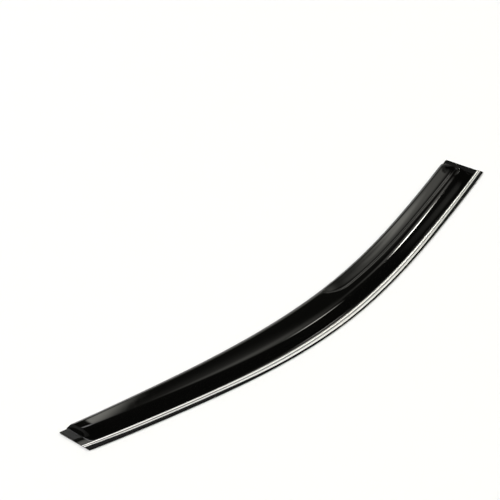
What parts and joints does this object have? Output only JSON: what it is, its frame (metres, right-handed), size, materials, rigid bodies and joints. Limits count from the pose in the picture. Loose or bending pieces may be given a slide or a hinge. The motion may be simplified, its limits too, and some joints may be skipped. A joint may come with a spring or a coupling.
{
  "type": "window rain deflector",
  "caption": "Smoke-black moulded rain deflector for a car's front side window, with a crease, a recessed vent at the rear half, a bright trim strip on its flange and taped end tabs.",
  "frame": {"origin": "middle of the outline in plan, on the surface that the release film lies on", "axes": "+X from front to rear along the door, +Y from the outer edge towards the glass edge, +Z out of the door"},
  "size_m": [0.9834, 0.159, 0.0214],
  "materials": {
    "smoke_acrylic": "polished",
    "bright_trim": "polished",
    "foam_tape": "foam",
    "release_film": "smooth"
  },
  "bodies": {
    "root": {"visor_shell": "smoke_acrylic", "chrome_trim": "bright_trim", "flange_tape_1": "foam_tape", "flange_tape_2": "foam_tape", "flange_tape_3": "foam_tape", "flange_tape_4": "foam_tape", "flange_tape_5": "foam_tape", "front_tab_tape": "foam_tape", "rear_tab_tape": "foam_tape", "flange_film_1": "release_film", "flange_film_2": "release_film", "flange_film_3": "release_film", "flange_film_4": "release_film", "flange_film_5": "release_film", "front_tab_film": "release_film", "rear_tab_film": "release_film"}
  },
  "joints": []
}
